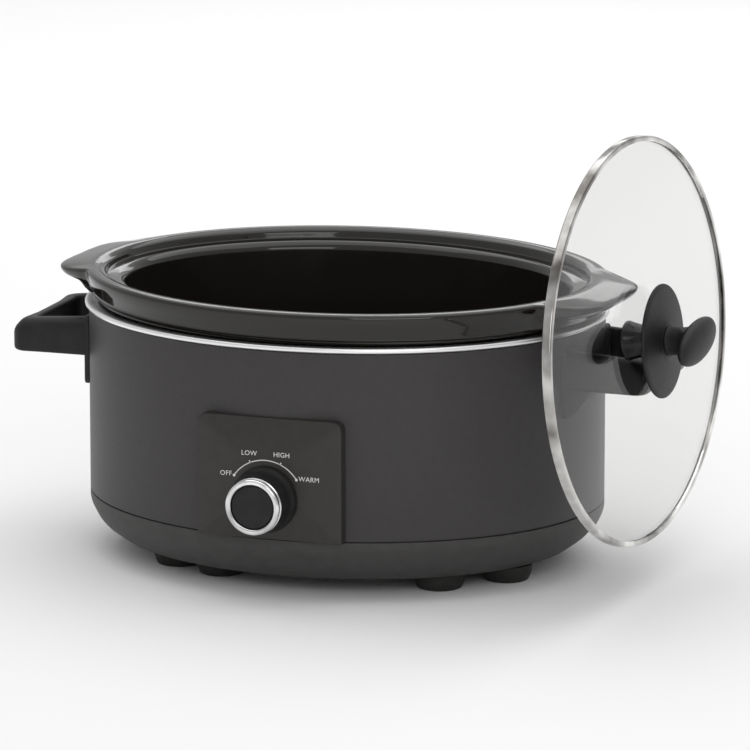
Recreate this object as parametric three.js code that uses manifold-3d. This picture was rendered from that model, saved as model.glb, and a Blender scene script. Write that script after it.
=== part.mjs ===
// Oval slow cooker, millimetres, +Z up, front toward -Y.
// The lid hangs by its inner cap on top of the right-hand handle.
import * as THREE from 'three';
import { mergeVertices } from 'three/addons/utils/BufferGeometryUtils.js';
import Module from 'manifold-3d';

const wasm = await Module();
wasm.setup();

// Body oval (half length along X, half depth along Y) and main heights.
const BODY_A = 170;
const BODY_B = 144.5;
const SEAM_Z = 40;
const BASE_BOTTOM_Z = 11;
const RING_Z = 162;
const RING_TOP_Z = 166;
const RIM_TOP_Z = 187;
const SHELL_WALL = 1.2;
const GAP = 0.3;
const OVAL_SEGMENTS = 48;

// Stoneware crock.
const LUG_TIP_X = 190;
const LUG_HALF_WIDTH = 43;
const CROCK_TURN_DEG = -3;

// Control panel and knob.
const PANEL_FACE_Y = -147.1;
const PANEL_HALF_WIDTH = 48.3;
const PANEL_TOP_Z = 119.2;
const KNOB_X = -2.5;
const KNOB_Z = 66.5;
const KNOB_REACH = 25.5;

// Handles.
const HANDLE_TIP_X = 215.8;
const HANDLE_HALF_WIDTH = 48;
const HANDLE_BOTTOM_Z = 127.3;
const HANDLE_ROOT_TOP_Z = 151.8;
const HANDLE_TIP_TOP_Z = 148.6;
const HANDLE_SCREW_Y = 42;
const HANDLE_SCREW_Z = 139;

// Lid, with its rim plane as z = 0 in its own frame.
const LID_A = 157;
const LID_B = 129;
const LID_PLACE = new THREE.Vector3(211.6, -46, 163.2);
const LID_TILT_DEG = -4;
const LID_YAW_DEG = -4;
const GRIP_TURN = Math.PI / 22;

// Feet centres: four mirrored corners and four more on a half turn.
const FOOT_CENTRES = {
  front_left: [-90, -70],
  front_right: [90, -76],
  back_left: [-90, 76],
  back_right: [90, 70],
  front_inner: [-55, -85],
  right_outer: [124, -42],
  back_inner: [55, 85],
  left_outer: [-124, 42],
};

const group = new THREE.Group();
const cooker = new THREE.Group();
const lid = new THREE.Group();

const finish = {
  paint: { color: 0x37363a, roughness: 0.45, metalness: 0.1 },
  plastic: { color: 0x1d1c1e, roughness: 0.6, metalness: 0.0 },
  gloss: { color: 0x0b0b0d, roughness: 0.15, metalness: 0.0 },
  base: { color: 0x2b292a, roughness: 0.6, metalness: 0.0 },
  glaze: { color: 0x070708, roughness: 0.08, metalness: 0.0 },
  aluminium: { color: 0xc4c6c9, roughness: 0.3, metalness: 1.0 },
  steel: { color: 0xb3b5b8, roughness: 0.28, metalness: 1.0 },
  chrome: { color: 0xe4e6e9, roughness: 0.08, metalness: 1.0 },
  glass: { color: 0xd8dddf, roughness: 0.03, metalness: 0.0, transparent: true, opacity: 0.35 },
  rubber: { color: 0x161616, roughness: 0.8, metalness: 0.0 },
  mica: { color: 0xa9a18d, roughness: 0.7, metalness: 0.0 },
  ceramic: { color: 0xe8e3d6, roughness: 0.5, metalness: 0.0 },
  brass: { color: 0xb58f3d, roughness: 0.35, metalness: 1.0 },
  wire: { color: 0xd9d2c4, roughness: 0.6, metalness: 0.0 },
};

function weld(geometry) {
  const plain = new THREE.BufferGeometry();
  plain.setAttribute('position', geometry.getAttribute('position'));
  plain.setIndex(geometry.getIndex());
  return mergeVertices(plain, 1e-4);
}

function piece(parent, name, geometry, look) {
  const mesh = new THREE.Mesh(weld(geometry), new THREE.MeshStandardMaterial(finish[look]));
  mesh.name = name;
  mesh.geometry.computeVertexNormals();
  parent.add(mesh);
  return mesh;
}

// A solid stacked from ellipses [halfX, halfY, z]. A loop joins its last ring to its first;
// otherwise both ends close on the axis. Rings run anticlockwise in the half plane.
function ovalSolid(rings, { loop = false, segments = OVAL_SEGMENTS } = {}) {
  const positions = [];
  const index = [];
  const addRing = ([a, b, z]) => {
    const start = positions.length / 3;
    for (let k = 0; k < segments; k += 1) {
      const angle = (2 * Math.PI * k) / segments;
      positions.push(a * Math.cos(angle), b * Math.sin(angle), z);
    }
    return start;
  };
  const starts = rings.map(addRing);
  const joinCount = loop ? rings.length : rings.length - 1;
  for (let i = 0; i < joinCount; i += 1) {
    const low = starts[i];
    const high = starts[(i + 1) % rings.length];
    for (let k = 0; k < segments; k += 1) {
      const next = (k + 1) % segments;
      index.push(low + k, low + next, high + next);
      index.push(low + k, high + next, high + k);
    }
  }
  if (!loop) {
    const bottom = positions.length / 3;
    positions.push(0, 0, rings[0][2]);
    const top = bottom + 1;
    positions.push(0, 0, rings[rings.length - 1][2]);
    for (let k = 0; k < segments; k += 1) {
      const next = (k + 1) % segments;
      index.push(bottom, starts[0] + next, starts[0] + k);
      index.push(top, starts[rings.length - 1] + k, starts[rings.length - 1] + next);
    }
  }
  const geometry = new THREE.BufferGeometry();
  geometry.setAttribute('position', new THREE.Float32BufferAttribute(positions, 3));
  geometry.setIndex(index);
  return geometry;
}

// Rings given as [inset from the body oval, z].
function insetRings(profile) {
  return profile.map(([inset, z]) => [BODY_A - inset, BODY_B - inset, z]);
}

// A turned solid from [radius, z] points, standing on Z.
function turned(profile, { loop = false, segments = 32 } = {}) {
  return ovalSolid(profile.map(([r, z]) => [r, r, z]), { loop, segments });
}

function box(width, depth, height, x, y, z) {
  return new THREE.BoxGeometry(width, depth, height).translate(x, y, z);
}

function solidOf(geometry) {
  const welded = weld(geometry);
  return new wasm.Manifold(new wasm.Mesh({
    numProp: 3,
    vertProperties: new Float32Array(welded.getAttribute('position').array),
    triVerts: new Uint32Array(welded.getIndex().array),
  }));
}

function geometryOf(solid) {
  const mesh = solid.getMesh();
  const geometry = new THREE.BufferGeometry();
  geometry.setAttribute('position', new THREE.BufferAttribute(mesh.vertProperties, 3));
  geometry.setIndex(new THREE.BufferAttribute(mesh.triVerts, 1));
  return geometry;
}

function cut(geometry, tools) {
  return geometryOf(tools.reduce((solid, tool) => solid.subtract(solidOf(tool)), solidOf(geometry)));
}

function joined(geometries) {
  return geometryOf(geometries.map(solidOf).reduce((all, next) => all.add(next)));
}

// A plain rod between two heights on an axis parallel to X, Y or Z.
function rod(radius, from, to, axis, centre, segments = 20) {
  const geometry = turned([[radius, from], [radius, to]], { segments });
  if (axis === 'x') geometry.rotateY(Math.PI / 2);
  if (axis === 'y') geometry.rotateX(-Math.PI / 2);
  return geometry.translate(...centre);
}

// ---- Outer body -------------------------------------------------------------

const switchHole = rod(5.2, -160, -120, 'y', [KNOB_X, 0, KNOB_Z]);
const screwHoles = [];
for (const side of [-1, 1]) {
  for (const y of [-HANDLE_SCREW_Y, HANDLE_SCREW_Y]) {
    screwHoles.push(rod(2.5, 140, 180, 'x', [side === 1 ? 0 : -320, y, HANDLE_SCREW_Z], 16));
  }
}

piece(cooker, 'body_shell', cut(
  ovalSolid(insetRings([
    [0, SEAM_Z + GAP], [0, RING_Z - GAP],
    [SHELL_WALL, RING_Z - GAP], [SHELL_WALL, SEAM_Z + GAP],
  ]), { loop: true }),
  [switchHole, ...screwHoles],
), 'paint');

// Moulded base: short upright band, rounded underside, locating lip inside the shell,
// central boss for the tie stud and a bore for the cord gland at the back.
const baseCup = ovalSolid(insetRings([
  [20, BASE_BOTTOM_Z], [13, 14.4], [6.5, 20.6], [2.2, 28.4],
  [0, 33.6], [0, SEAM_Z], [SHELL_WALL + 0.4, SEAM_Z], [SHELL_WALL + 0.4, 46],
  [3.8, 46], [3.8, 34], [7, 26.6], [13, 18.6], [24, 13.6],
]));
const studHole = rod(3.4, 0, 60, 'z', [0, 0, 0]);
const nutPocket = rod(9, 0, 15.4, 'z', [0, 0, 0], 28);
const glandHole = rod(6.3, 120, 160, 'y', [0, 0, 26]);
piece(cooker, 'base_housing', cut(
  joined([baseCup, rod(13, 13, 27.7, 'z', [0, 0, 0], 32)]),
  [studHole, nutPocket, glandHole],
), 'base');

for (const [place, [x, y]] of Object.entries(FOOT_CENTRES)) {
  const foot = turned([
    [12.5, 0], [14.6, 1.2], [16.4, 5], [17, BASE_BOTTOM_Z - GAP],
  ], { segments: 20 });
  piece(cooker, `foot_${place}`, foot.translate(x, y, 0), 'rubber');
}

// ---- Heating pan and what it carries ----------------------------------------

// Outer half axes of the pan wall at a height.
function panInset(z) {
  return 12 + ((RING_Z - z) / (RING_Z - 60)) * 8.5;
}

piece(cooker, 'heating_pan', ovalSolid(insetRings([
  [32, 38.5], [24.6, 42], [panInset(60), 60], [panInset(104), 104], [11.4, 160],
  [7, 160], [7, 161.6], [12.7, 161.6],
  [panInset(60) + 1.3, 60], [26, 43.4], [33, 39.9],
])), 'aluminium');
piece(cooker, 'rim_ring', ovalSolid(insetRings([
  [11.4, RING_Z], [-1.2, RING_Z], [-2.5, RING_Z + 1], [-2.5, RING_TOP_Z - 1],
  [-1.2, RING_TOP_Z], [2, RING_TOP_Z], [3.2, RING_TOP_Z - 1.2], [11.4, RING_TOP_Z - 1.2],
]), { loop: true }), 'aluminium');

const BAND_LOW = 62;
const BAND_HIGH = 102;
piece(cooker, 'heater_band', ovalSolid(insetRings([
  [panInset(BAND_LOW) - 2.2, BAND_LOW], [panInset(BAND_HIGH) - 2.2, BAND_HIGH],
  [panInset(BAND_HIGH) - 0.4, BAND_HIGH], [panInset(BAND_LOW) - 0.4, BAND_LOW],
]), { loop: true }), 'mica');

piece(cooker, 'heat_shield', cut(
  ovalSolid([[128, 104, 28], [128, 104, 29]]),
  [studHole],
), 'steel');
piece(cooker, 'stud_spacer', turned([[8, 29.3], [8, 35], [3.5, 35], [3.5, 29.3]], {
  loop: true,
  segments: 24,
}), 'steel');
piece(cooker, 'pan_stud', turned([
  [2.9, 11.6], [3, 12], [3, 35.4], [11, 35.4], [11, 38.2],
], { segments: 24 }), 'steel');
piece(cooker, 'stud_nut', turned([[7.2, 12], [7.2, 15.1], [3.9, 15.1], [3.9, 12]], {
  loop: true,
  segments: 6,
}), 'steel');

piece(cooker, 'thermal_fuse', rod(2, -7, 7, 'x', [42, 40, 34.2], 16), 'ceramic');
piece(cooker, 'fuse_clip', cut(box(8, 14, 3.6, 42, 40, 36.3), [
  rod(2.3, -8, 8, 'x', [42, 40, 34.2], 16),
]), 'steel');

// ---- Supply side inside the base --------------------------------------------

piece(cooker, 'cord_gland', turned([
  [3.8, 125.4], [8, 125.4], [8, 129.2], [6, 129.4], [6, 145], [8.5, 145], [8.5, 147],
  [6.6, 151], [3.8, 151],
], { loop: true, segments: 28 }).rotateX(-Math.PI / 2).translate(0, 0, 26), 'rubber');
piece(cooker, 'terminal_block', box(34, 16, 11, -6, 84, 19.6), 'ceramic');
piece(cooker, 'earth_tab', box(9, 6, 6, 30, 84, 17), 'brass');

function lead(name, points) {
  const curve = new THREE.CatmullRomCurve3(points.map((p) => new THREE.Vector3(...p)));
  const section = new THREE.Shape().absarc(0, 0, 1.1, 0, 2 * Math.PI);
  const geometry = new THREE.ExtrudeGeometry(section, {
    steps: 10,
    curveSegments: 3,
    extrudePath: curve,
  });
  piece(cooker, name, geometry, 'wire');
}

lead('lead_supply_switch', [
  [-14, 75.4, 20], [-20, 55, 19], [-20, 0, 18], [-16, -70, 18], [-9, -112, 26],
  [-8, -133, 40], [-8, -136, 52.7],
]);
lead('lead_switch_heater', [
  [8, -136, 52.7], [10, -134, 44], [38, -128, 42], [60, -123.5, 52], [62, -122.5, 61.2],
]);
lead('lead_heater_fuse', [
  [-62, -122.5, 61.2], [-60, -121, 50], [-40, -112, 34], [0, -60, 32.4], [26, 10, 32.6],
  [33, 40, 34.2],
]);
lead('lead_fuse_supply', [
  [51, 40, 34.2], [70, 46, 33], [92, 76, 33], [100, 96, 26], [60, 100, 19], [12.5, 84, 19],
]);

// ---- Control panel, switch and knob -----------------------------------------

const bodyClearance = ovalSolid([
  [BODY_A + GAP, BODY_B + GAP, 0],
  [BODY_A + GAP, BODY_B + GAP, 200],
]);

const panelOutline = new THREE.Shape();
const cornerRadius = 7;
panelOutline.moveTo(-PANEL_HALF_WIDTH, SEAM_Z + 0.5);
panelOutline.lineTo(PANEL_HALF_WIDTH, SEAM_Z + 0.5);
panelOutline.lineTo(PANEL_HALF_WIDTH, PANEL_TOP_Z - cornerRadius);
panelOutline.absarc(
  PANEL_HALF_WIDTH - cornerRadius, PANEL_TOP_Z - cornerRadius, cornerRadius, 0, Math.PI / 2,
);
panelOutline.absarc(
  cornerRadius - PANEL_HALF_WIDTH, PANEL_TOP_Z - cornerRadius, cornerRadius, Math.PI / 2, Math.PI,
);
panelOutline.closePath();
const panelBlock = new THREE.ExtrudeGeometry(panelOutline, {
  depth: 12,
  bevelEnabled: false,
  curveSegments: 8,
}).rotateX(Math.PI / 2).translate(0, PANEL_FACE_Y + 12, 0);
piece(cooker, 'control_panel', cut(panelBlock, [bodyClearance, switchHole]), 'plastic');

piece(cooker, 'switch_body', cut(
  joined([
    box(26, 12, 26, KNOB_X, -136.2, KNOB_Z),
    rod(4.8, -151.4, -142, 'y', [KNOB_X, 0, KNOB_Z], 24),
  ]),
  [rod(3.25, -153, -134, 'y', [KNOB_X, 0, KNOB_Z], 24)],
), 'base');
piece(cooker, 'switch_nut', turned([[8.2, 0], [8.2, 2.4], [5.9, 2.4], [5.9, 0]], {
  loop: true,
  segments: 6,
}).rotateX(Math.PI / 2).translate(KNOB_X, PANEL_FACE_Y - GAP, KNOB_Z), 'brass');
piece(cooker, 'switch_shaft', rod(3, -161.5, -136, 'y', [KNOB_X, 0, KNOB_Z], 24), 'brass');

// Knob parts are turned about the knob axis, z running out from the panel face.
function knobPart(name, profile, look, loop = false) {
  const geometry = turned(profile, { loop, segments: 28 });
  geometry.rotateX(Math.PI / 2).translate(KNOB_X, PANEL_FACE_Y, KNOB_Z);
  piece(cooker, name, geometry, look);
}

knobPart('knob_body', [
  [9.5, 0.9], [20.8, 0.9], [21.6, 1.8], [21.3, 3.6], [19.2, 7], [18.5, 11], [18, 15.5],
  [17.4, 19.1], [14.2, 19.1], [14.2, 16], [3.35, 16], [3.35, 6], [9.5, 6],
], 'plastic', true);
knobPart('knob_inner_band', [
  [17.4, 19.4], [18.2, 19.7], [18.2, 20.7], [17.4, 21], [14.3, 21], [14.3, 19.4],
], 'chrome', true);
knobPart('knob_ring', [
  [14.3, 22.4], [17.6, 22.4], [18.5, 23.1], [18.5, KNOB_REACH - 1], [17.6, KNOB_REACH],
  [15.2, KNOB_REACH], [14.3, KNOB_REACH - 0.8],
], 'chrome', true);
knobPart('knob_cap', [
  [13.6, 16.3], [13.9, 16.7], [13.9, 21.3], [16.8, 21.3], [16.8, 22.1], [13.9, 22.1],
  [13.9, KNOB_REACH - 1.4], [13.2, KNOB_REACH - 0.9],
], 'plastic');

// ---- Handles ----------------------------------------------------------------

function handleGeometry() {
  const loopOutline = new THREE.Shape();
  const radius = 8;
  const halfWidth = HANDLE_HALF_WIDTH;
  loopOutline.moveTo(150, -halfWidth);
  loopOutline.absarc(HANDLE_TIP_X - radius, radius - halfWidth, radius, -Math.PI / 2, 0);
  loopOutline.absarc(HANDLE_TIP_X - radius, halfWidth - radius, radius, 0, Math.PI / 2);
  loopOutline.lineTo(150, halfWidth);
  loopOutline.closePath();
  const fingerGap = new THREE.Path();
  const inner = 5;
  const gapTipX = HANDLE_TIP_X - 14;
  const gapHalf = halfWidth - 12;
  fingerGap.moveTo(140, -gapHalf);
  fingerGap.absarc(gapTipX - inner, inner - gapHalf, inner, -Math.PI / 2, 0);
  fingerGap.absarc(gapTipX - inner, gapHalf - inner, inner, 0, Math.PI / 2);
  fingerGap.lineTo(140, gapHalf);
  const height = HANDLE_ROOT_TOP_Z + 8 - HANDLE_BOTTOM_Z;
  const extrude = { depth: height, bevelEnabled: false, curveSegments: 6 };
  const loop = new THREE.ExtrudeGeometry(loopOutline, extrude).translate(0, 0, HANDLE_BOTTOM_Z);
  const gap = new THREE.ExtrudeGeometry(new THREE.Shape(fingerGap.getPoints(6)), {
    depth: height + 20,
    bevelEnabled: false,
  }).translate(0, 0, HANDLE_BOTTOM_Z - 10);

  const slope = Math.atan2(HANDLE_ROOT_TOP_Z - HANDLE_TIP_TOP_Z, HANDLE_TIP_X - BODY_A);
  const above = new THREE.BoxGeometry(160, 140, 60).translate(0, 0, 30);
  above.rotateY(slope).translate(HANDLE_TIP_X, 0, HANDLE_TIP_TOP_Z);
  const shoulder = new THREE.BoxGeometry(40, 140, 30).translate(0, 0, 15);
  shoulder.rotateY(Math.atan2(8, 9)).translate(HANDLE_TIP_X, 0, HANDLE_TIP_TOP_Z - 8);
  const armBevels = [-1, 1].map((end) => {
    const bevel = new THREE.BoxGeometry(160, 40, 30).translate(0, 0, 15);
    bevel.rotateX(-end * Math.PI / 4).rotateY(slope);
    return bevel.translate(HANDLE_TIP_X, end * halfWidth, HANDLE_TIP_TOP_Z - 4.5);
  });

  const plate = solidOf(ovalSolid(insetRings([
    [-3.2, 108.5], [-3.2, HANDLE_ROOT_TOP_Z + 1.5],
    [1, HANDLE_ROOT_TOP_Z + 1.5], [1, 108.5],
  ]), { loop: true })).intersect(solidOf(box(60, 2 * halfWidth, 200, 170, 0, 100)));

  let body = solidOf(loop).subtract(solidOf(gap)).subtract(solidOf(above));
  body = [shoulder, ...armBevels].reduce((solid, tool) => solid.subtract(solidOf(tool)), body);
  body = body.add(plate).subtract(solidOf(bodyClearance));
  for (const y of [-HANDLE_SCREW_Y, HANDLE_SCREW_Y]) {
    body = body.subtract(solidOf(rod(2.3, 150, 182, 'x', [0, y, HANDLE_SCREW_Z], 16)));
  }
  return geometryOf(body);
}

piece(cooker, 'handle_right', handleGeometry(), 'plastic');
piece(cooker, 'handle_left', handleGeometry().rotateZ(Math.PI), 'plastic');

// Screws run outward from inside the shell; the oval wall sits further in away from its end.
const wallX = BODY_A * Math.sqrt(1 - (HANDLE_SCREW_Y / BODY_B) ** 2) - SHELL_WALL;
for (const [side, sign] of [['right', 1], ['left', -1]]) {
  for (const [end, y] of [['front', -HANDLE_SCREW_Y], ['back', HANDLE_SCREW_Y]]) {
    const screw = turned([
      [4, wallX - 4.4], [4, wallX - 2.2], [2, wallX - 2.2], [2, 181],
    ], { segments: 16 });
    screw.rotateY(Math.PI / 2);
    if (sign < 0) screw.rotateZ(Math.PI);
    piece(cooker, `handle_screw_${side}_${end}`, screw.translate(0, y, HANDLE_SCREW_Z), 'steel');
  }
}

// ---- Crock ------------------------------------------------------------------

const crockBowl = ovalSolid(insetRings([
  [37, 41], [30, 45], [26.6, 54], [23.8, 66], [15, 165],
  [10.5, RING_TOP_Z + GAP], [5, RING_TOP_Z + GAP], [4.4, 169],
  [2.2, 169.6], [-2.6, 183], [-2.3, 185.8], [-0.6, RIM_TOP_Z],
  [6, RIM_TOP_Z], [10.2, 185], [11, 180.6], [20, 180.2],
  [22.6, 178.2], [24, 172], [31, 70], [34.4, 58.4], [44, 50.4], [60, 49],
]));
const LUG_SIDE = [
  [150, 62], [157, 61.5], [163, 59], [170, 54.5], [178, 49], [183.5, LUG_HALF_WIDTH],
  [187, 36.5], [189.3, 28], [LUG_TIP_X, 18],
];
// The lug's outline, or a share of its reach beyond the body oval.
function lugSlab(share, low, high) {
  const side = LUG_SIDE.map(([x, y]) => {
    const angle = Math.atan2(y, x);
    const oval = 1 / Math.hypot(Math.cos(angle) / BODY_A, Math.sin(angle) / BODY_B);
    const reach = oval + share * (Math.hypot(x, y) - oval);
    return [reach * Math.cos(angle), reach * Math.sin(angle)];
  });
  const outline = new THREE.Shape([
    ...side.map(([x, y]) => new THREE.Vector2(x, -y)),
    ...side.slice().reverse().map(([x, y]) => new THREE.Vector2(x, y)),
  ]);
  return solidOf(new THREE.ExtrudeGeometry(outline, {
    depth: high - low,
    bevelEnabled: false,
  }).translate(0, 0, low));
}
function lug(sign) {
  const under = new THREE.BoxGeometry(90, 140, 30).translate(0, 0, -15);
  under.rotateY(-0.3).translate(LUG_TIP_X, 0, RIM_TOP_Z - 9);
  const over = new THREE.BoxGeometry(60, 140, 30).translate(0, 0, 15);
  over.rotateY(Math.atan2(3, 16)).translate(LUG_TIP_X, 0, RIM_TOP_Z - 3);
  const bowlVoid = ovalSolid(insetRings([[3, 150], [3, 200]]));
  const lip = lugSlab(1, RIM_TOP_Z - 15.4, RIM_TOP_Z - 0.4).subtract(solidOf(under));
  const root = lugSlab(0.42, RIM_TOP_Z - 17.6, RIM_TOP_Z - 10.4);
  const ear = lip.add(root).subtract(solidOf(over)).subtract(solidOf(bowlVoid));
  return sign > 0 ? ear : ear.rotate([0, 0, 180]);
}
// The crock sits turned a little within its clearance in the pan.
const crockSolid = solidOf(crockBowl).add(lug(1)).add(lug(-1));
piece(cooker, 'crock', geometryOf(crockSolid.rotate([0, 0, CROCK_TURN_DEG])), 'glaze');

// ---- Lid --------------------------------------------------------------------

const GLASS_THICKNESS = 4;
const DOME = 7.5;
const glassRings = [];
const domeSteps = [1, 0.8, 0.56, 0.3];
for (const share of domeSteps.slice().reverse()) {
  glassRings.push([154.5 * share, 126.5 * share, DOME * (1 - share ** 2) - 2.5]);
}
for (const share of domeSteps) {
  glassRings.push([
    154.5 * share, 126.5 * share, DOME * (1 - share ** 2) - 2.5 + GLASS_THICKNESS,
  ]);
}
glassRings.push([3.6, 3.6, 9], [3.6, 3.6, 5]);
piece(lid, 'lid_glass', ovalSolid(glassRings, { loop: true }), 'glass');

piece(lid, 'lid_rim', ovalSolid([
  [3.6, -3.4], [0.8, -3.4], [0, -2.7], [0, 2.1], [0.8, 2.7], [3.6, 2.8],
  [3.6, 2.1], [1.9, 1.9], [1.9, -2.85], [3.6, -2.85],
].map(([inset, z]) => [LID_A - inset, LID_B - inset, z]), { loop: true }), 'steel');

piece(lid, 'lid_washer', turned([[4, 9.3], [12, 9.2], [12, 10.4], [4, 10.4]], {
  loop: true,
  segments: 32,
}), 'rubber');
piece(lid, 'knob_guard', turned([
  [3, 10.7], [11, 10.7], [20, 12.2], [34, 15.2], [36.5, 16.8], [36, 18.2], [20, 20.2],
  [11.5, 21.4], [3, 21.4],
], { loop: true, segments: 36 }), 'plastic');

const grip = new THREE.SphereGeometry(1, 24, 14);
grip.rotateX(Math.PI / 2).scale(31.5, 12.8, 6.8).rotateZ(GRIP_TURN).translate(0, 0, 40);
const neck = turned([[9.4, 21.7], [8.8, 25], [9.4, 37]], { segments: 32 });
piece(lid, 'lid_grip', cut(joined([grip, neck]), [rod(2.4, 18, 30, 'z', [0, 0, 0], 16)]), 'plastic');
piece(lid, 'lid_cap_nut', cut(
  turned([[11.2, -9.4], [12.6, -8.6], [12.8, -7], [12, -5], [10.6, 0], [10.4, 4.6]], { segments: 32 }),
  [rod(2.4, -3, 10, 'z', [0, 0, 0], 16)],
), 'gloss');
piece(lid, 'lid_stud', rod(2, -2.6, 29.6, 'z', [0, 0, 0], 16), 'steel');

// Long axis along Y, short axis upright, outer side facing +X, then tilted and turned.
const basis = new THREE.Matrix4().makeBasis(
  new THREE.Vector3(0, 1, 0), new THREE.Vector3(0, 0, 1), new THREE.Vector3(1, 0, 0),
);
const lean = new THREE.Matrix4().makeRotationZ(THREE.MathUtils.degToRad(LID_YAW_DEG));
lean.multiply(new THREE.Matrix4().makeRotationY(THREE.MathUtils.degToRad(LID_TILT_DEG)));
lid.quaternion.setFromRotationMatrix(lean.multiply(basis));
lid.position.copy(LID_PLACE);
cooker.add(lid);

// Origin: middle of the overall footprint, on the floor.
cooker.updateMatrixWorld(true);
const footprint = new THREE.Box3().setFromObject(cooker, true);
cooker.position.set(
  -(footprint.min.x + footprint.max.x) / 2,
  -(footprint.min.y + footprint.max.y) / 2,
  -footprint.min.z,
);
group.add(cooker);

export default group;
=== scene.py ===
import math

import bmesh
import bpy
from mathutils import Matrix, Vector


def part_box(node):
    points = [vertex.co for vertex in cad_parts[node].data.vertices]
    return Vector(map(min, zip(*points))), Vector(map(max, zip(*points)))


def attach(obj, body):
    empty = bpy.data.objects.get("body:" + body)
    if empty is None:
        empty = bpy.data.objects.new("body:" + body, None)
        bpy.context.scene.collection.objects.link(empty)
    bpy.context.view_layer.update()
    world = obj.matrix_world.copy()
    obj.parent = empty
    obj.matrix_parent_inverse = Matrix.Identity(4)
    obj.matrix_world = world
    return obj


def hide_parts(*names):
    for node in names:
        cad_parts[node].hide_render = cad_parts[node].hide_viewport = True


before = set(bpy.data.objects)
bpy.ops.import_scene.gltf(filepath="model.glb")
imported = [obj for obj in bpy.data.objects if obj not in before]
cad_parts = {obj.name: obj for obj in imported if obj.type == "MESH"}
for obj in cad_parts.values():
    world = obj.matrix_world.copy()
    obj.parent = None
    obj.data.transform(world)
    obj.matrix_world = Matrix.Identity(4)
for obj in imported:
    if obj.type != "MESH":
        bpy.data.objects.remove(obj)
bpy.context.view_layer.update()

MM = 0.001

# Where the body's own axis stands in the frame, from the shell's box.
shell_low, shell_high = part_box("body_shell")
AXIS_X = (shell_low[0] + shell_high[0]) / 2
AXIS_Y = (shell_low[1] + shell_high[1]) / 2
HALF_LENGTH = 170.0
HALF_DEPTH = 144.5

# ---------------------------------------------------------------- materials

# Noise values mostly lie between these, and reach a range's or a tint's two ends there.
NOISE_LOW, NOISE_HIGH = 0.3, 0.7
TINT_LOW, TINT_HIGH = 0.35, 0.65
BUMP_STRENGTH = 0.35
# Mottling is this many times broader than the grain.
MOTTLE = 12


def shader(name, base, rough, metal=0.0, **inputs):
    """A Principled material, with its tree and its shader node."""
    mat = bpy.data.materials.new(name)
    mat.use_nodes = True
    tree = mat.node_tree
    bsdf = tree.nodes["Principled BSDF"]
    bsdf.inputs["Base Color"].default_value = (*base, 1)
    bsdf.inputs["Roughness"].default_value = rough
    bsdf.inputs["Metallic"].default_value = metal
    for key, value in inputs.items():
        bsdf.inputs[key.replace("_", " ")].default_value = value
    return mat, tree, bsdf


def noise(tree, scale, detail):
    """Object-space noise, scale in features per metre."""
    place = tree.nodes.new("ShaderNodeTexCoord")
    tex = tree.nodes.new("ShaderNodeTexNoise")
    tex.inputs["Scale"].default_value = scale
    tex.inputs["Detail"].default_value = detail
    tree.links.new(place.outputs["Object"], tex.inputs["Vector"])
    return tex.outputs["Fac"]


def spread(tree, fac, low, high):
    """Maps a noise value to a range for roughness."""
    node = tree.nodes.new("ShaderNodeMapRange")
    node.inputs["From Min"].default_value = NOISE_LOW
    node.inputs["From Max"].default_value = NOISE_HIGH
    node.inputs["To Min"].default_value = low
    node.inputs["To Max"].default_value = high
    tree.links.new(fac, node.inputs["Value"])
    return node.outputs["Result"]


def tint(tree, fac, dark, light):
    """Mixes two colours by a noise value."""
    ramp = tree.nodes.new("ShaderNodeValToRGB")
    ramp.color_ramp.elements[0].position = TINT_LOW
    ramp.color_ramp.elements[0].color = (*dark, 1)
    ramp.color_ramp.elements[1].position = TINT_HIGH
    ramp.color_ramp.elements[1].color = (*light, 1)
    tree.links.new(fac, ramp.inputs["Fac"])
    return ramp.outputs["Color"]


def bump(tree, bsdf, fac, distance):
    node = tree.nodes.new("ShaderNodeBump")
    node.inputs["Strength"].default_value = BUMP_STRENGTH
    node.inputs["Distance"].default_value = distance
    tree.links.new(fac, node.inputs["Height"])
    tree.links.new(node.outputs["Normal"], bsdf.inputs["Normal"])


def grained(name, dark, light, rough, grain, depth, metal=0.0, **inputs):
    """A surface with mottled colour, varied roughness and a fine bump depth metres deep."""
    mat, tree, bsdf = shader(name, light, rough[0], metal, **inputs)
    broad = noise(tree, grain / MOTTLE, 3.0)
    fine = noise(tree, grain, 5.0)
    tree.links.new(tint(tree, broad, dark, light), bsdf.inputs["Base Color"])
    tree.links.new(spread(tree, fine, *rough), bsdf.inputs["Roughness"])
    bump(tree, bsdf, fine, depth)
    return mat


PAINT = grained("satin_paint", (0.036, 0.033, 0.034), (0.040, 0.0365, 0.0375), (0.42, 0.50),
                2600, 0.00002, Specular_IOR_Level=0.4)
BASE = grained("base_plastic", (0.034, 0.0325, 0.0315), (0.043, 0.041, 0.0395), (0.48, 0.62),
               1500, 0.00008)
MATT = grained("matt_plastic", (0.0085, 0.0082, 0.0080), (0.013, 0.0125, 0.0122),
               (0.42, 0.58), 1500, 0.00008, Specular_IOR_Level=0.32)
PANEL = grained("panel_plastic", (0.026, 0.0237, 0.0216), (0.030, 0.0275, 0.0252),
                (0.30, 0.38), 2200, 0.00004, Specular_IOR_Level=0.4)
GLOSS = grained("gloss_plastic", (0.004, 0.004, 0.004), (0.006, 0.006, 0.006), (0.09, 0.14),
                300, 0.00003)
GLAZE = grained("black_glaze", (0.0100, 0.0085, 0.0070), (0.0130, 0.0112, 0.0095),
                (0.05, 0.10), 90, 0.00012)
ALUMINIUM = grained("rolled_aluminium", (0.90, 0.90, 0.90), (0.96, 0.96, 0.96), (0.28, 0.36),
                    60, 0.000002, 1.0)
RIM_STEEL = grained("rim_steel", (0.16, 0.15, 0.14), (0.86, 0.85, 0.83), (0.10, 0.16),
                    300, 0.000002, 1.0)
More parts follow.
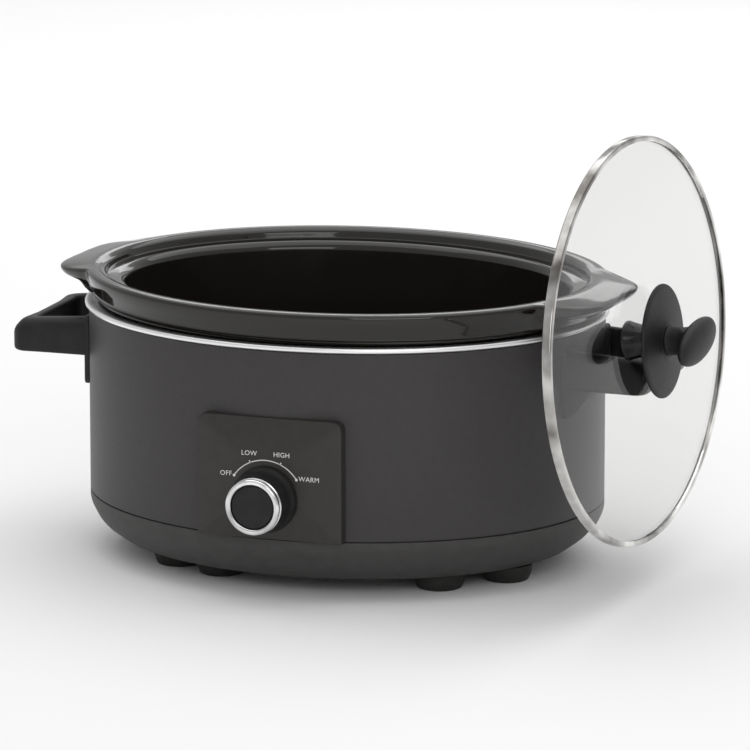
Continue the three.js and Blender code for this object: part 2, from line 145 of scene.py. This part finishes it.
STEEL = grained("plain_steel", (0.42, 0.42, 0.43), (0.58, 0.58, 0.59), (0.28, 0.42),
                900, 0.00005, 1.0)
CHROME = grained("chrome", (0.48, 0.48, 0.48), (0.93, 0.93, 0.93), (0.05, 0.09),
                 500, 0.000002, 1.0)
RUBBER = grained("rubber", (0.012, 0.011, 0.010), (0.018, 0.0165, 0.0155), (0.7, 0.85),
                 1200, 0.0001)
MICA = grained("mica", (0.30, 0.27, 0.20), (0.46, 0.42, 0.33), (0.5, 0.7), 500, 0.0001)
PORCELAIN = grained("porcelain", (0.66, 0.63, 0.56), (0.76, 0.73, 0.66), (0.4, 0.55),
                    700, 0.00006)
BRASS = grained("brass", (0.58, 0.42, 0.16), (0.74, 0.56, 0.24), (0.22, 0.36),
                900, 0.00003, 1.0)
SLEEVE = grained("lead_sleeve", (0.52, 0.49, 0.42), (0.66, 0.63, 0.55), (0.6, 0.8),
                 2500, 0.0001)
PRINT = grained("white_print", (0.72, 0.72, 0.71), (0.80, 0.80, 0.79), (0.45, 0.6),
                2500, 0.00002)
# A low refractive index gives the glass the faint reflection it has in the photograph.
GLASS = grained("lid_glass", (0.825, 0.822, 0.818), (0.835, 0.832, 0.828), (0.0, 0.012),
                40, 0.000002, Transmission_Weight=1.0, IOR=1.2)

# ---------------------------------------------------------------- mesh tools

# An arc takes up to this share of the edges at its corner.
ARC_SHARE = 0.48
WELD = 1e-6
BODY_COUNT = 128


def rounded(points, steps=4):
    """Turns a closed outline's corners into arcs. Each point is (u, v) or (u, v, radius)."""
    out = []
    count = len(points)
    for i, point in enumerate(points):
        here = Vector(point[:2])
        radius = point[2] if len(point) > 2 else 0
        if radius <= 0:
            out.append(tuple(here))
            continue
        before = Vector(points[i - 1][:2]) - here
        after = Vector(points[(i + 1) % count][:2]) - here
        reach = min(radius, before.length * ARC_SHARE, after.length * ARC_SHARE)
        start = here + before.normalized() * reach
        end = here + after.normalized() * reach
        for k in range(steps + 1):
            t = k / steps
            out.append(tuple((1 - t) ** 2 * start + 2 * t * (1 - t) * here + t ** 2 * end))
    return out


def add_object(name, verts, faces, material, body, slot, *nodes, sharp=None):
    """Makes a smooth-shaded piece from millimetre points about the body's axis."""
    mesh = bpy.data.meshes.new(name)
    points = [(AXIS_X + x * MM, AXIS_Y + y * MM, z * MM) for x, y, z in verts]
    mesh.from_pydata(points, [], faces)
    mesh.validate()
    work = bmesh.new()
    work.from_mesh(mesh)
    bmesh.ops.remove_doubles(work, verts=work.verts, dist=WELD)
    bmesh.ops.recalc_face_normals(work, faces=work.faces)
    for face in work.faces:
        face.smooth = True
    if sharp:
        for edge in work.edges:
            if len(edge.link_faces) == 2 and edge.calc_face_angle(0) > math.radians(sharp):
                edge.smooth = False
    work.to_mesh(mesh)
    work.free()
    obj = bpy.data.objects.new(name, mesh)
    bpy.context.scene.collection.objects.link(obj)
    mesh.materials.append(material)
    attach(obj, body)
    if nodes:
        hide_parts(*nodes)


def loft(rings, loop=False, close_start=False, close_end=False):
    """Verts and faces of stacked closed rings with the same point count."""
    size = len(rings[0])
    verts = [p for ring in rings for p in ring]
    faces = []
    last = len(rings) if loop else len(rings) - 1
    for i in range(last):
        a, b = i * size, ((i + 1) % len(rings)) * size
        for k in range(size):
            n = (k + 1) % size
            faces.append((a + k, a + n, b + n, b + k))
    for wanted, index in ((close_start, 0), (close_end, len(rings) - 1)):
        if wanted:
            ring = rings[index]
            verts.append(tuple(sum(c) / size for c in zip(*ring)))
            hub = len(verts) - 1
            start = index * size
            faces += [(start + k, start + (k + 1) % size, hub) for k in range(size)]
    return verts, faces


def ellipse(a, b, z, count):
    return [(a * math.cos(2 * math.pi * k / count), b * math.sin(2 * math.pi * k / count), z)
            for k in range(count)]


def oval_rings(profile):
    """Rings from (inset, z) points measured in from the body's oval."""
    return [ellipse(HALF_LENGTH - inset, HALF_DEPTH - inset, z, BODY_COUNT)
            for inset, z in profile]


def turned_rings(profile, count):
    """Rings from (radius, height) points about the Z axis."""
    return [ellipse(r, r, z, count) for r, z in profile]


def placed(verts, matrix):
    return [tuple(matrix @ Vector(v)) for v in verts]


# ---------------------------------------------------------------- body

verts, faces = loft(oval_rings(rounded([
    (0, 40.6, 0.5), (0, 161.6, 0.6), (1.2, 161.6), (1.2, 40.6),
])), loop=True)
add_object("shell_skin", verts, faces, PAINT, "base_unit", "painted_shell", "body_shell",
           sharp=50)

verts, faces = loft(oval_rings(rounded([
    (19.5, 11, 2), (6.5, 20.4, 12), (1.3, 30.5, 5), (0, 34.5, 1.5), (0, 39.9, 0.8),
    (1.6, 39.9), (1.6, 46), (3.8, 46), (3.8, 34), (7, 26.6, 3), (13, 18.6, 4), (24, 13.6, 3),
], 5)), close_start=True, close_end=True)
add_object("base_skin", verts, faces, BASE, "base_unit", "base_plastic", "base_housing",
           sharp=50)

verts, faces = loft(oval_rings(rounded([
    (32, 38.5, 3), (24.6, 42, 5), (20.5, 60, 3), (16.8, 104), (11.4, 160), (7, 160, 0.3),
    (7, 161.6, 0.3), (12.7, 161.6, 0.8), (21.8, 60, 3), (26, 43.4, 4), (33, 39.9, 3),
])), close_start=True, close_end=True)
add_object("pan_skin", verts, faces, ALUMINIUM, "base_unit", "pan_aluminium", "heating_pan",
           sharp=50)
verts, faces = loft(oval_rings(rounded([
    (11.4, 162), (-1.0, 162, 1.2), (-2.5, 163, 1.2), (-2.5, 165, 1.2), (-1.0, 166, 1.2),
    (2, 166, 0.6), (3.2, 164.8, 0.6), (11.4, 164.8, 0.6),
])), loop=True)
add_object("rim_ring_skin", verts, faces, ALUMINIUM, "base_unit", "pan_aluminium", "rim_ring",
           sharp=50)

FOOT_PROFILE = rounded([
    (13.2, 0), (14.2, 0.4, 0.4), (14.8, 1.6, 0.8), (16.4, 5, 2), (17, 10.7),
])
for node in [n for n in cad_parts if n.startswith("foot_")]:
    low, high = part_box(node)
    fx = ((low[0] + high[0]) / 2 - AXIS_X) / MM
    fy = ((low[1] + high[1]) / 2 - AXIS_Y) / MM
    verts, faces = loft(turned_rings(FOOT_PROFILE, 48), close_start=True, close_end=True)
    verts = [(x + fx, y + fy, z) for x, y, z in verts]
    add_object(node + "_skin", verts, faces, RUBBER, "base_unit", "foot_rubber", node,
               sharp=55)

# ---------------------------------------------------------------- control panel

PANEL_FACE = -147.1
PANEL_HALF = 48.3
PANEL_LOW, PANEL_HIGH = 40.5, 119.2
PANEL_MIDDLE = 79.85
PANEL_RISE = 39.35
# How far the panel and the handle plates stay off the shell, round its oval.
SHELL_GAP = 0.3
panel_outline = rounded([
    (-PANEL_HALF, PANEL_LOW, 0.6), (PANEL_HALF, PANEL_LOW, 0.6),
    (PANEL_HALF, PANEL_HIGH, 7), (-PANEL_HALF, PANEL_HIGH, 7),
], 8)


def oval_y(x, clearance):
    """Where the body's front stands at x, clearance outside the shell."""
    a, b = HALF_LENGTH + clearance, HALF_DEPTH + clearance
    return -b * math.sqrt(1 - (x / a) ** 2)


def shrunk(outline, inset):
    """The panel's outline, drawn in by inset on every side."""
    sx = (PANEL_HALF - inset) / PANEL_HALF
    sz = (PANEL_RISE - inset) / PANEL_RISE
    return [(x * sx, PANEL_MIDDLE + (z - PANEL_MIDDLE) * sz) for x, z in outline]


panel_rings = [
    [(x, oval_y(x, SHELL_GAP), z) for x, z in panel_outline],
    [(x, PANEL_FACE + 0.9, z) for x, z in panel_outline],
    [(x, PANEL_FACE + 0.3, z) for x, z in shrunk(panel_outline, 0.2)],
    [(x, PANEL_FACE, z) for x, z in shrunk(panel_outline, 0.8)],
]
verts, faces = loft(panel_rings, close_start=True, close_end=True)
add_object("panel_skin", verts, faces, PANEL, "base_unit", "matt_black_plastic",
           "control_panel", sharp=35)

# ---------------------------------------------------------------- knob

KNOB_X, KNOB_Z = -2.5, 66.5
UPRIGHT_TURN = Matrix.Rotation(math.pi / 2, 4, "X")
OUTWARD = Matrix.Translation((KNOB_X, PANEL_FACE, KNOB_Z)) @ UPRIGHT_TURN


def knob_piece(name, profile, material, slot, node, loop=True):
    """Turns (radius, height above the panel) points into a piece of the knob."""
    rings = turned_rings(profile, 96)
    verts, faces = loft(rings, loop=loop, close_start=not loop, close_end=not loop)
    add_object(name, placed(verts, OUTWARD), faces, material, "control_knob", slot, node,
               sharp=45)


knob_piece("knob_skirt_skin", rounded([
    (9.5, 0.9), (20.8, 0.9, 0.5), (21.6, 2.0, 0.8), (21.2, 3.8, 1.2), (19.2, 7, 3),
    (18.5, 11, 3), (18, 15.5, 1), (17.5, 18.6, 0.5), (17.2, 19.1, 0.3), (14.2, 19.1),
    (14.2, 16), (3.35, 16), (3.35, 6), (9.5, 6),
]), MATT, "matt_black_plastic", "knob_body")
knob_piece("knob_band_skin", rounded([
    (14.3, 19.4), (17.4, 19.4, 0.2), (18.2, 19.8, 0.3), (18.2, 20.6, 0.3), (17.4, 21, 0.2),
    (14.3, 21),
]), CHROME, "chrome", "knob_inner_band")
knob_piece("knob_ring_skin", rounded([
    (14.3, 22.4), (17.2, 22.4, 0.3), (18.0, 23.2, 0.6), (18.0, 24.5, 0.9), (17.0, 25.5, 0.9),
    (15.0, 25.5, 0.5), (14.3, 24.6, 0.3),
]), CHROME, "chrome", "knob_ring")
knob_piece("knob_cap_skin", rounded([
    (13.6, 16.3), (13.9, 16.7), (13.9, 21.3), (16.8, 21.3), (16.8, 22.1), (13.9, 22.1),
    (13.9, 24.2, 0.5), (13.2, 24.6, 0.4), (8, 24.6),
]), MATT, "matt_black_plastic", "knob_cap", loop=False)

# ---------------------------------------------------------------- printed scale

PRINT_Y = PANEL_FACE - 0.12
PRINT_BACK_Y = PANEL_FACE - 0.01
SCALE_R = 25.2
SCALE_DROP = 0.1
SCALE_END, SCALE_TICK = 56, 23.5
LINE_HALF, TICK_HALF = 0.32, 0.45
DOT_R, DOT_COUNT = 0.9, 24


def flat_strip(name, path, half):
    """A thin raised line of print on the panel face, along (x, z) points."""
    rings = []
    for i, (x, z) in enumerate(path):
        ahead = Vector(path[min(i + 1, len(path) - 1)])
        behind = Vector(path[max(i - 1, 0)])
        along = (ahead - behind).normalized()
        side = Vector((-along.y, along.x)) * half
        rings.append([
            (x + side.x, PRINT_BACK_Y, z + side.y), (x + side.x, PRINT_Y, z + side.y),
            (x - side.x, PRINT_Y, z - side.y), (x - side.x, PRINT_BACK_Y, z - side.y),
        ])
    verts, faces = loft(rings, close_start=True, close_end=True)
    add_object(name, verts, faces, PRINT, "base_unit", "matt_black_plastic", sharp=30)


def on_scale(degrees, radius=SCALE_R):
    """The (x, z) of a point of the scale, in degrees clockwise from its top."""
    a = math.radians(degrees)
    return (KNOB_X + radius * math.sin(a), KNOB_Z - SCALE_DROP + radius * math.cos(a))


flat_strip("scale_arc", [on_scale(k) for k in range(-SCALE_END, SCALE_END + 1, 2)], LINE_HALF)
for mark, degrees in (("off", -SCALE_END), ("low", -SCALE_TICK), ("high", SCALE_TICK),
                      ("warm", SCALE_END)):
    if mark in ("off", "warm"):
        x, z = on_scale(degrees)
        dot = [(x + DOT_R * math.sin(2 * math.pi * k / DOT_COUNT), PRINT_Y - 0.02,
                z + DOT_R * math.cos(2 * math.pi * k / DOT_COUNT)) for k in range(DOT_COUNT)]
        back = [(px, PRINT_BACK_Y, pz) for px, _, pz in dot]
        verts, faces = loft([back, dot], close_start=True, close_end=True)
        add_object("scale_dot_" + mark, verts, faces, PRINT, "base_unit",
                   "matt_black_plastic", sharp=30)
    else:
        flat_strip("scale_tick_" + mark,
                   [on_scale(degrees, SCALE_R - 0.2), on_scale(degrees, SCALE_R + 1.4)],
                   TICK_HALF)

# The settings' generic words, with each one's middle as (x, z).
WORD_SIZE, WORD_DEPTH = 0.0044, 0.00005
WORD_Y = PANEL_FACE - 0.07
WORDS = (("OFF", -28.9, 81.4), ("LOW", -13.3, 95.5), ("HIGH", 8.5, 95.6), ("WARM", 26.8, 81.1))
for word, x, z in WORDS:
    text = bpy.data.curves.new("word_" + word.lower(), "FONT")
    text.body = word
    text.size = WORD_SIZE
    text.space_character = 1.05
    text.align_x = "CENTER"
    text.align_y = "CENTER"
    text.extrude = WORD_DEPTH
    text.resolution_u = 3
    source = bpy.data.objects.new("word_source", text)
    bpy.context.scene.collection.objects.link(source)
    mesh = bpy.data.meshes.new_from_object(
        source.evaluated_get(bpy.context.evaluated_depsgraph_get()))
    bpy.data.objects.remove(source)
    middle = (AXIS_X + x * MM, AXIS_Y + WORD_Y * MM, z * MM)
    mesh.transform(Matrix.Translation(middle) @ UPRIGHT_TURN)
    obj = bpy.data.objects.new("word_" + word.lower(), mesh)
    bpy.context.scene.collection.objects.link(obj)
    mesh.materials.clear()
    mesh.materials.append(PRINT)
    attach(obj, "base_unit")

# ---------------------------------------------------------------- handles

TIP_X, HALF_WIDTH = 215.8, 48.0
BOTTOM_Z, ROOT_TOP_Z, TIP_TOP_Z = 127.3, 151.8, 148.6
ARM, BAR = 12.0, 14.0
OUT_R, IN_R = 8.0, 5.0
CORNER_STEPS = 12


def top_z(x):
    """Height of the loop's top, which falls toward its tip."""
    return TIP_TOP_Z + (TIP_X - x) * (ROOT_TOP_Z - TIP_TOP_Z) / (TIP_X - HALF_LENGTH)


def handle_stations():
    """Inner and outer plan points along the loop, from one arm to the other."""
    stations = []
    half_gap = HALF_WIDTH - ARM
    gap_tip = TIP_X - BAR
    for x in (163, 172, 180, 188, 195):
        stations.append(((x, -half_gap), (x, -HALF_WIDTH)))
    for k in range(CORNER_STEPS + 1):
        a = -math.pi / 2 + k * math.pi / 2 / CORNER_STEPS
        inner = (gap_tip - IN_R + IN_R * math.cos(a), -half_gap + IN_R + IN_R * math.sin(a))
        outer = (TIP_X - OUT_R + OUT_R * math.cos(a), -HALF_WIDTH + OUT_R + OUT_R * math.sin(a))
        stations.append((inner, outer))
    for y in (-20, -10, 0):
        stations.append(((gap_tip, y), (TIP_X, y)))
    mirrored = [((i[0], -i[1]), (o[0], -o[1])) for i, o in reversed(stations[:-1])]
    return stations + mirrored


def handle_section(inner, outer):
    """A rounded section between the inner and outer plan points, bevelled at its outer top."""
    width = math.dist(inner, outer)
    ux, uy = (outer[0] - inner[0]) / width, (outer[1] - inner[1]) / width
    bar, lo, top = ux * ux, BOTTOM_Z, top_z(outer[0])
    corners = rounded([
        (0, lo, 2.4), (width, lo, 3.2), (width, top - 4.5 - 3.5 * bar, 3.6),
        (width - 4.2 - 3.8 * bar, top, 3.6), (0, top_z(inner[0]), 3 + 1.5 * bar),
    ], 5)
    return [(inner[0] + ux * u, inner[1] + uy * u, v) for u, v in corners]


def oval_x(y, clearance):
    """Where the body's end stands at y, clearance outside the shell."""
    a, b = HALF_LENGTH + clearance, HALF_DEPTH + clearance
    return a * math.sqrt(1 - (y / b) ** 2)


# The plate's edge is eased in three steps of (share, clearance), then its face closes inwards.
PLATE_LOW, PLATE_HIGH, PLATE_R = 108.5, 153.3, 5
PLATE_MIDDLE = 130.9
PLATE_FACE = 3.2
PLATE_STEPS = [(1, SHELL_GAP), (1, 2.3), (0.991, 2.9), (0.975, PLATE_FACE), (0.8, PLATE_FACE),
               (0.55, PLATE_FACE), (0.3, PLATE_FACE), (0.1, PLATE_FACE)]
EDGE_SHARE = 0.97
plate_outline = rounded([
    (-HALF_WIDTH, PLATE_LOW, PLATE_R), (HALF_WIDTH, PLATE_LOW, PLATE_R),
    (HALF_WIDTH, PLATE_HIGH, PLATE_R), (-HALF_WIDTH, PLATE_HIGH, PLATE_R),
], 6)
for side, sign in (("right", 1), ("left", -1)):
    rings = [handle_section(i, o) for i, o in handle_stations()]
    verts, faces = loft(rings, close_start=True, close_end=True)
    plate_rings = []
    for share, clearance in PLATE_STEPS:
        # The plate is about half as tall as it is wide, so its edge eases twice as fast in Z.
        share_z = share if share < EDGE_SHARE else 1 - (1 - share) * 2
        plate_rings.append([
            (oval_x(y * share, clearance), y * share,
             PLATE_MIDDLE + (z - PLATE_MIDDLE) * share_z) for y, z in plate_outline])
    plate_verts, plate_faces = loft(plate_rings, close_start=True, close_end=True)
    offset = len(verts)
    verts += plate_verts
    faces += [tuple(i + offset for i in face) for face in plate_faces]
    verts = [(x * sign, y * sign, z) for x, y, z in verts]
    add_object(f"handle_{side}_skin", verts, faces, MATT, "base_unit", "matt_black_plastic",
               "handle_" + side, sharp=50)

# ---------------------------------------------------------------- crock

# Half of one ear in plan, from its tip round to the rim.
EAR = [(190, 0), (190, 18), (189.3, 28), (187, 36.5), (183.5, 43), (178, 49), (170, 54.5),
       (163, 59), (157, 61.5)]
CROCK_TURN = Matrix.Rotation(math.radians(-3), 4, "Z")
# An ear takes up this angle each side of the X axis, with points a degree apart.
EAR_DEGREES = 26
# The ears blend in where their outline passes the rim's own, over this reach.
RIM_INSET, EAR_BLEND = -2.6, 14.0


def crock_angles():
    """Angles round the crock, closest together at the ears."""
    ear_end = math.radians(EAR_DEGREES)
    step = (math.pi / 2 - ear_end) / EAR_DEGREES
    rising = [math.radians(a) for a in range(EAR_DEGREES)]
    rising += [ear_end + step * k for k in range(EAR_DEGREES)]
    falling = [math.pi / 2] + rising[:0:-1]
    half = rising + [math.pi - a for a in falling]
    return half + [a + math.pi for a in half]


def polar_oval(angle, inset):
    """Radius of the body's oval, drawn in by inset, at an angle."""
    a, b = HALF_LENGTH - inset, HALF_DEPTH - inset
    return 1 / math.sqrt((math.cos(angle) / a) ** 2 + (math.sin(angle) / b) ** 2)


CROCK_ANGLES = crock_angles()
EAR_POLAR = [(math.atan2(y, x), math.hypot(x, y)) for x, y in EAR]


def ear_radius(angle):
    """Radius of the ear's outline, or 0 away from the ears."""
    folded = abs(math.asin(math.sin(angle)))
    for (a0, r0), (a1, r1) in zip(EAR_POLAR, EAR_POLAR[1:]):
        if folded <= a1:
            return r0 + (r1 - r0) * (folded - a0) / (a1 - a0)
    return 0


def crock_ring(inset, z, ear_weight=0.0, ear_inset=0.0, ear_z=0.0):
    """One level of the crock, with a share of the ears drawn in by ear_inset, raised by ear_z."""
    ring = []
    for angle in CROCK_ANGLES:
        plain = polar_oval(angle, inset)
        reach = max(0.0, ear_radius(angle) - polar_oval(angle, RIM_INSET))
        share = min(1.0, reach / EAR_BLEND)
        radius = plain + ear_weight * max(0.0, reach - ear_inset * share)
        ring.append((radius * math.cos(angle), radius * math.sin(angle), z + ear_z * share))
    return ring


# Up the outside, over the rim and its ears, then down the inside.
crock_rings = [crock_ring(i, z) for i, z in rounded([
    (37, 41, 3), (30, 45, 4), (26.6, 54, 4), (23.8, 66, 6), (15, 165, 1), (10.5, 166.3, 0.5),
    (5, 166.3, 0.5), (4.4, 169, 0.4),
])]
crock_rings += [
    crock_ring(2.8, 169.3, 0.22),
    crock_ring(2.1, 169.8, 0.32),
    crock_ring(1.6, 171.0, 0.39),
    crock_ring(1.2, 172.2, 0.42),
    crock_ring(0.8, 173.4, 0.45),
    crock_ring(0.4, 174.6, 0.50),
    crock_ring(-0.1, 175.9, 0.58),
    crock_ring(-0.5, 177.0, 0.72),
    crock_ring(-0.9, 178.0, 0.88),
    crock_ring(-1.3, 179.0, 0.97),
    crock_ring(-1.8, 180.6, 1.0, 0, -0.3),
    crock_ring(-2.4, 182.6, 1.0, 0, -1.3),
    crock_ring(-2.6, 184.4, 1.0, 0, -2.2),
    crock_ring(-2.3, 185.8, 1.0, 0.3, -2.5),
    crock_ring(-1.6, 186.5, 1.0, 1.0, -2.6),
    crock_ring(-0.6, 186.9, 1.0, 2.2, -2.6),
    crock_ring(0.2, 187.0, 0.85, 2.6, -2.2),
    crock_ring(1.2, 187.0, 0.6, 2.6, -1.5),
    crock_ring(2.4, 187.0, 0.3, 2.0, -0.7),
    crock_ring(4.0, 187.0),
]
crock_rings += [crock_ring(i, z) for i, z in rounded([
    (6, 187.0, 0.5), (10.2, 185.4, 2.2), (11, 180.6, 0.8), (20, 180.2, 2), (23.4, 177, 2.5),
    (31, 70, 6), (34.4, 58.4, 6), (44, 50.4, 6), (60, 49, 3),
], 5)]
verts, faces = loft(crock_rings, close_start=True, close_end=True)
add_object("crock_skin", placed(verts, CROCK_TURN), faces, GLAZE, "crock_insert",
           "black_glaze", "crock", sharp=60)

# ---------------------------------------------------------------- lid

# The lid's pieces are made lying flat about their own Z axis, then stood up and leant.
LID_A, LID_B = 157.0, 129.0
LID_PLACE = (211.6, -46, 163.2)
LID_LEAN = math.radians(-4)
STOOD_UP = Matrix(((0, 0, 1, 0), (1, 0, 0, 0), (0, 1, 0, 0), (0, 0, 0, 1)))
LID = (Matrix.Translation(LID_PLACE) @ Matrix.Rotation(LID_LEAN, 4, "Z")
       @ Matrix.Rotation(LID_LEAN, 4, "Y") @ STOOD_UP)
GLASS_INSET, GLASS_COUNT = 2.5, 160
GLASS_UNDER, GLASS_OVER = -2.5, 1.5
DOME_RISE = 7.5
BORE_R = 3.6


def lid_piece(name, rings, material, slot, node, loop=True, sharp=45, **ends):
    verts, faces = loft(rings, loop=loop, **ends)
    add_object(name, placed(verts, LID), faces, material, "lid", slot, node, sharp=sharp)


def glass_ring(share, base):
    """A ring of the domed glass, at a share of its size."""
    return ((LID_A - GLASS_INSET) * share, (LID_B - GLASS_INSET) * share,
            base + DOME_RISE * (1 - share ** 2))


shares = [1, 0.985, 0.96, 0.9, 0.82, 0.74, 0.66, 0.58, 0.5, 0.42, 0.34, 0.26, 0.18, 0.1, 0.05]
under = [glass_ring(s, GLASS_UNDER) for s in reversed(shares)]
over = [glass_ring(s, GLASS_OVER) for s in shares]
bore = [(BORE_R, BORE_R, DOME_RISE + GLASS_OVER), (BORE_R, BORE_R, DOME_RISE + GLASS_UNDER)]
lid_piece("lid_glass_skin", [ellipse(*ring, GLASS_COUNT) for ring in under + over + bore],
          GLASS, "lid_glass", "lid_glass", sharp=60)

rim_profile = rounded([
    (3.6, -3.4, 0.2), (0.8, -3.4, 0.8), (0, -2.7, 0.8), (0, 2.1, 0.9), (0.8, 2.7, 0.9),
    (3.6, 2.8, 0.4), (3.6, 2.1), (1.9, 1.9), (1.9, -2.85), (3.6, -2.85),
])
lid_piece("lid_rim_skin",
          [ellipse(LID_A - i, LID_B - i, z, GLASS_COUNT) for i, z in rim_profile],
          RIM_STEEL, "rim_steel", "lid_rim")
lid_piece("knob_guard_skin", turned_rings(rounded([
    (3, 10.7), (11, 10.7, 1), (20, 12.2, 6), (34, 15.2, 4), (36.4, 16.4, 1), (36.2, 17.8, 1),
    (34, 18.6, 4), (20, 20.2, 5), (12.4, 20.9, 0.6), (11.4, 21.4, 0.5), (3, 21.4),
]), 96), MATT, "matt_black_plastic", "knob_guard")
lid_piece("lid_cap_nut_skin", turned_rings(rounded([
    (11.0, -9.4, 1.0), (12.5, -8.7, 0.8), (12.8, -7, 0.8), (12, -5, 2), (10.6, 0, 3),
    (10.4, 4.6, 0.3), (9, 4.6),
]), 72), GLOSS, "gloss_black_plastic", "lid_cap_nut", loop=False,
          close_start=True, close_end=True)

# The grip is a round neck that flares into a flattened lobe, turned a little on the lid.
GRIP_TURN = Matrix.Rotation(math.pi / 22, 4, "Z")
LOBE_A, LOBE_B, LOBE_C, LOBE_Z = 31.5, 12.8, 6.7, 40
FLARE_A, FLARE_B, FLARE_STEPS = 10, 9.2, 3
LOBE_STEPS, LOBE_START, GRIP_COUNT = 24, 0.12, 72
grip_rings = [ellipse(r, r, z, GRIP_COUNT)
              for r, z in ((9.4, 21.7), (9.0, 23.2), (8.8, 25.5), (8.9, 30))]
for k in range(1, LOBE_STEPS + 1):
    polar = math.pi * (LOBE_START + (1 - LOBE_START) * k / LOBE_STEPS)
    across = max(math.sin(polar), 0.001)
    flare = max(0.0, 1 - (k - 1) / FLARE_STEPS)
    lobe = ellipse(
        LOBE_A * across * (1 - flare) + FLARE_A * flare,
        LOBE_B * across * (1 - flare) + FLARE_B * flare,
        LOBE_Z - LOBE_C * math.cos(polar), GRIP_COUNT)
    grip_rings.append([tuple(GRIP_TURN @ Vector(point)) for point in lobe])
lid_piece("lid_grip_skin", grip_rings, MATT, "matt_black_plastic", "lid_grip",
          loop=False, sharp=70, close_start=True, close_end=True)

# ---------------------------------------------------------------- carried-over nodes

# Small or hidden parts keep their CAD shape and get a material each.
KEPT = {
    "heater_band": MICA, "heat_shield": STEEL, "stud_spacer": STEEL, "pan_stud": STEEL,
    "stud_nut": STEEL, "thermal_fuse": PORCELAIN, "fuse_clip": STEEL, "cord_gland": RUBBER,
    "terminal_block": PORCELAIN, "earth_tab": BRASS, "switch_body": BASE, "switch_nut": BRASS,
    "switch_shaft": BRASS, "lid_washer": RUBBER, "lid_stud": STEEL,
}
for name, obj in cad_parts.items():
    material = KEPT.get(name)
    if name.startswith("lead_"):
        material = SLEEVE
    if name.startswith("handle_screw"):
        material = STEEL
    if material:
        obj.data.materials.clear()
        obj.data.materials.append(material)

# ---------------------------------------------------------------- floor, light, camera


FLOOR_HALF = 15
floor_mesh = bpy.data.meshes.new("floor")
floor_mesh.from_pydata([
    (-FLOOR_HALF, -FLOOR_HALF, 0), (FLOOR_HALF, -FLOOR_HALF, 0),
    (FLOOR_HALF, FLOOR_HALF, 0), (-FLOOR_HALF, FLOOR_HALF, 0),
], [], [(0, 1, 2, 3)])
floor = bpy.data.objects.new("floor", floor_mesh)
bpy.context.scene.collection.objects.link(floor)
floor_mesh.materials.append(shader("floor", (0.93, 0.93, 0.93), 0.9)[0])

world = bpy.data.worlds.new("studio")
bpy.context.scene.world = world
world.use_nodes = True
world.node_tree.nodes["Background"].inputs["Color"].default_value = (1, 1, 1, 1)
world.node_tree.nodes["Background"].inputs["Strength"].default_value = 0.6


def area(name, energy, size, location, target, size_y=None):
    """An area light aimed at a target, hidden from the camera."""
    light = bpy.data.lights.new(name, "AREA")
    light.energy = energy
    light.size = size
    if size_y:
        light.shape = "RECTANGLE"
        light.size_y = size_y
    obj = bpy.data.objects.new(name, light)
    obj.location = location
    direction = Vector(target) - Vector(location)
    obj.rotation_euler = direction.to_track_quat("-Z", "Y").to_euler()
    obj.visible_camera = False
    bpy.context.scene.collection.objects.link(obj)


area("overhead", 80, 5.0, (0.0, 1.2, 3.2), (0, 0.6, 0))
area("front", 10, 1.5, (1.1, -2.2, 1.3), (0, 0, 0.1), 1.0)
area("back", 2, 1.5, (-0.3, 2.3, 0.85), (0, 0, 0.18), 0.3)

# The camera stands to the right of the front and slightly above, with a long lens. It puts
# the middle of the seam under the shell at a given pixel, by turning and not by shift.
IMAGE_SIZE, SENSOR, SEAM_Z = 750, 36, 0.040
AZIMUTH, ELEVATION, DISTANCE = math.radians(19.22), math.radians(13.46), 4.0
PIXELS_PER_METRE, CENTRE_X, CENTRE_Y = 1527.0, 345.55, 488.84
right = Vector((math.cos(AZIMUTH), math.sin(AZIMUTH), 0))
ahead = Vector((-math.sin(AZIMUTH) * math.cos(ELEVATION),
                math.cos(AZIMUTH) * math.cos(ELEVATION), -math.sin(ELEVATION)))
above = right.cross(ahead)
seam_centre = Vector((AXIS_X, AXIS_Y, SEAM_Z))
focal = PIXELS_PER_METRE * DISTANCE
aim = (ahead + right * ((IMAGE_SIZE / 2 - CENTRE_X) / focal)
       + above * ((CENTRE_Y - IMAGE_SIZE / 2) / focal))
camera_data = bpy.data.cameras.new("camera")
camera_data.sensor_width = SENSOR
camera_data.lens = focal / IMAGE_SIZE * SENSOR
camera_data.clip_end = 100
camera = bpy.data.objects.new("camera", camera_data)
camera.location = seam_centre - ahead * DISTANCE
camera.rotation_euler = aim.to_track_quat("-Z", "Y").to_euler()
bpy.context.scene.collection.objects.link(camera)
bpy.context.scene.camera = camera
bpy.context.scene.view_settings.view_transform = "Standard"
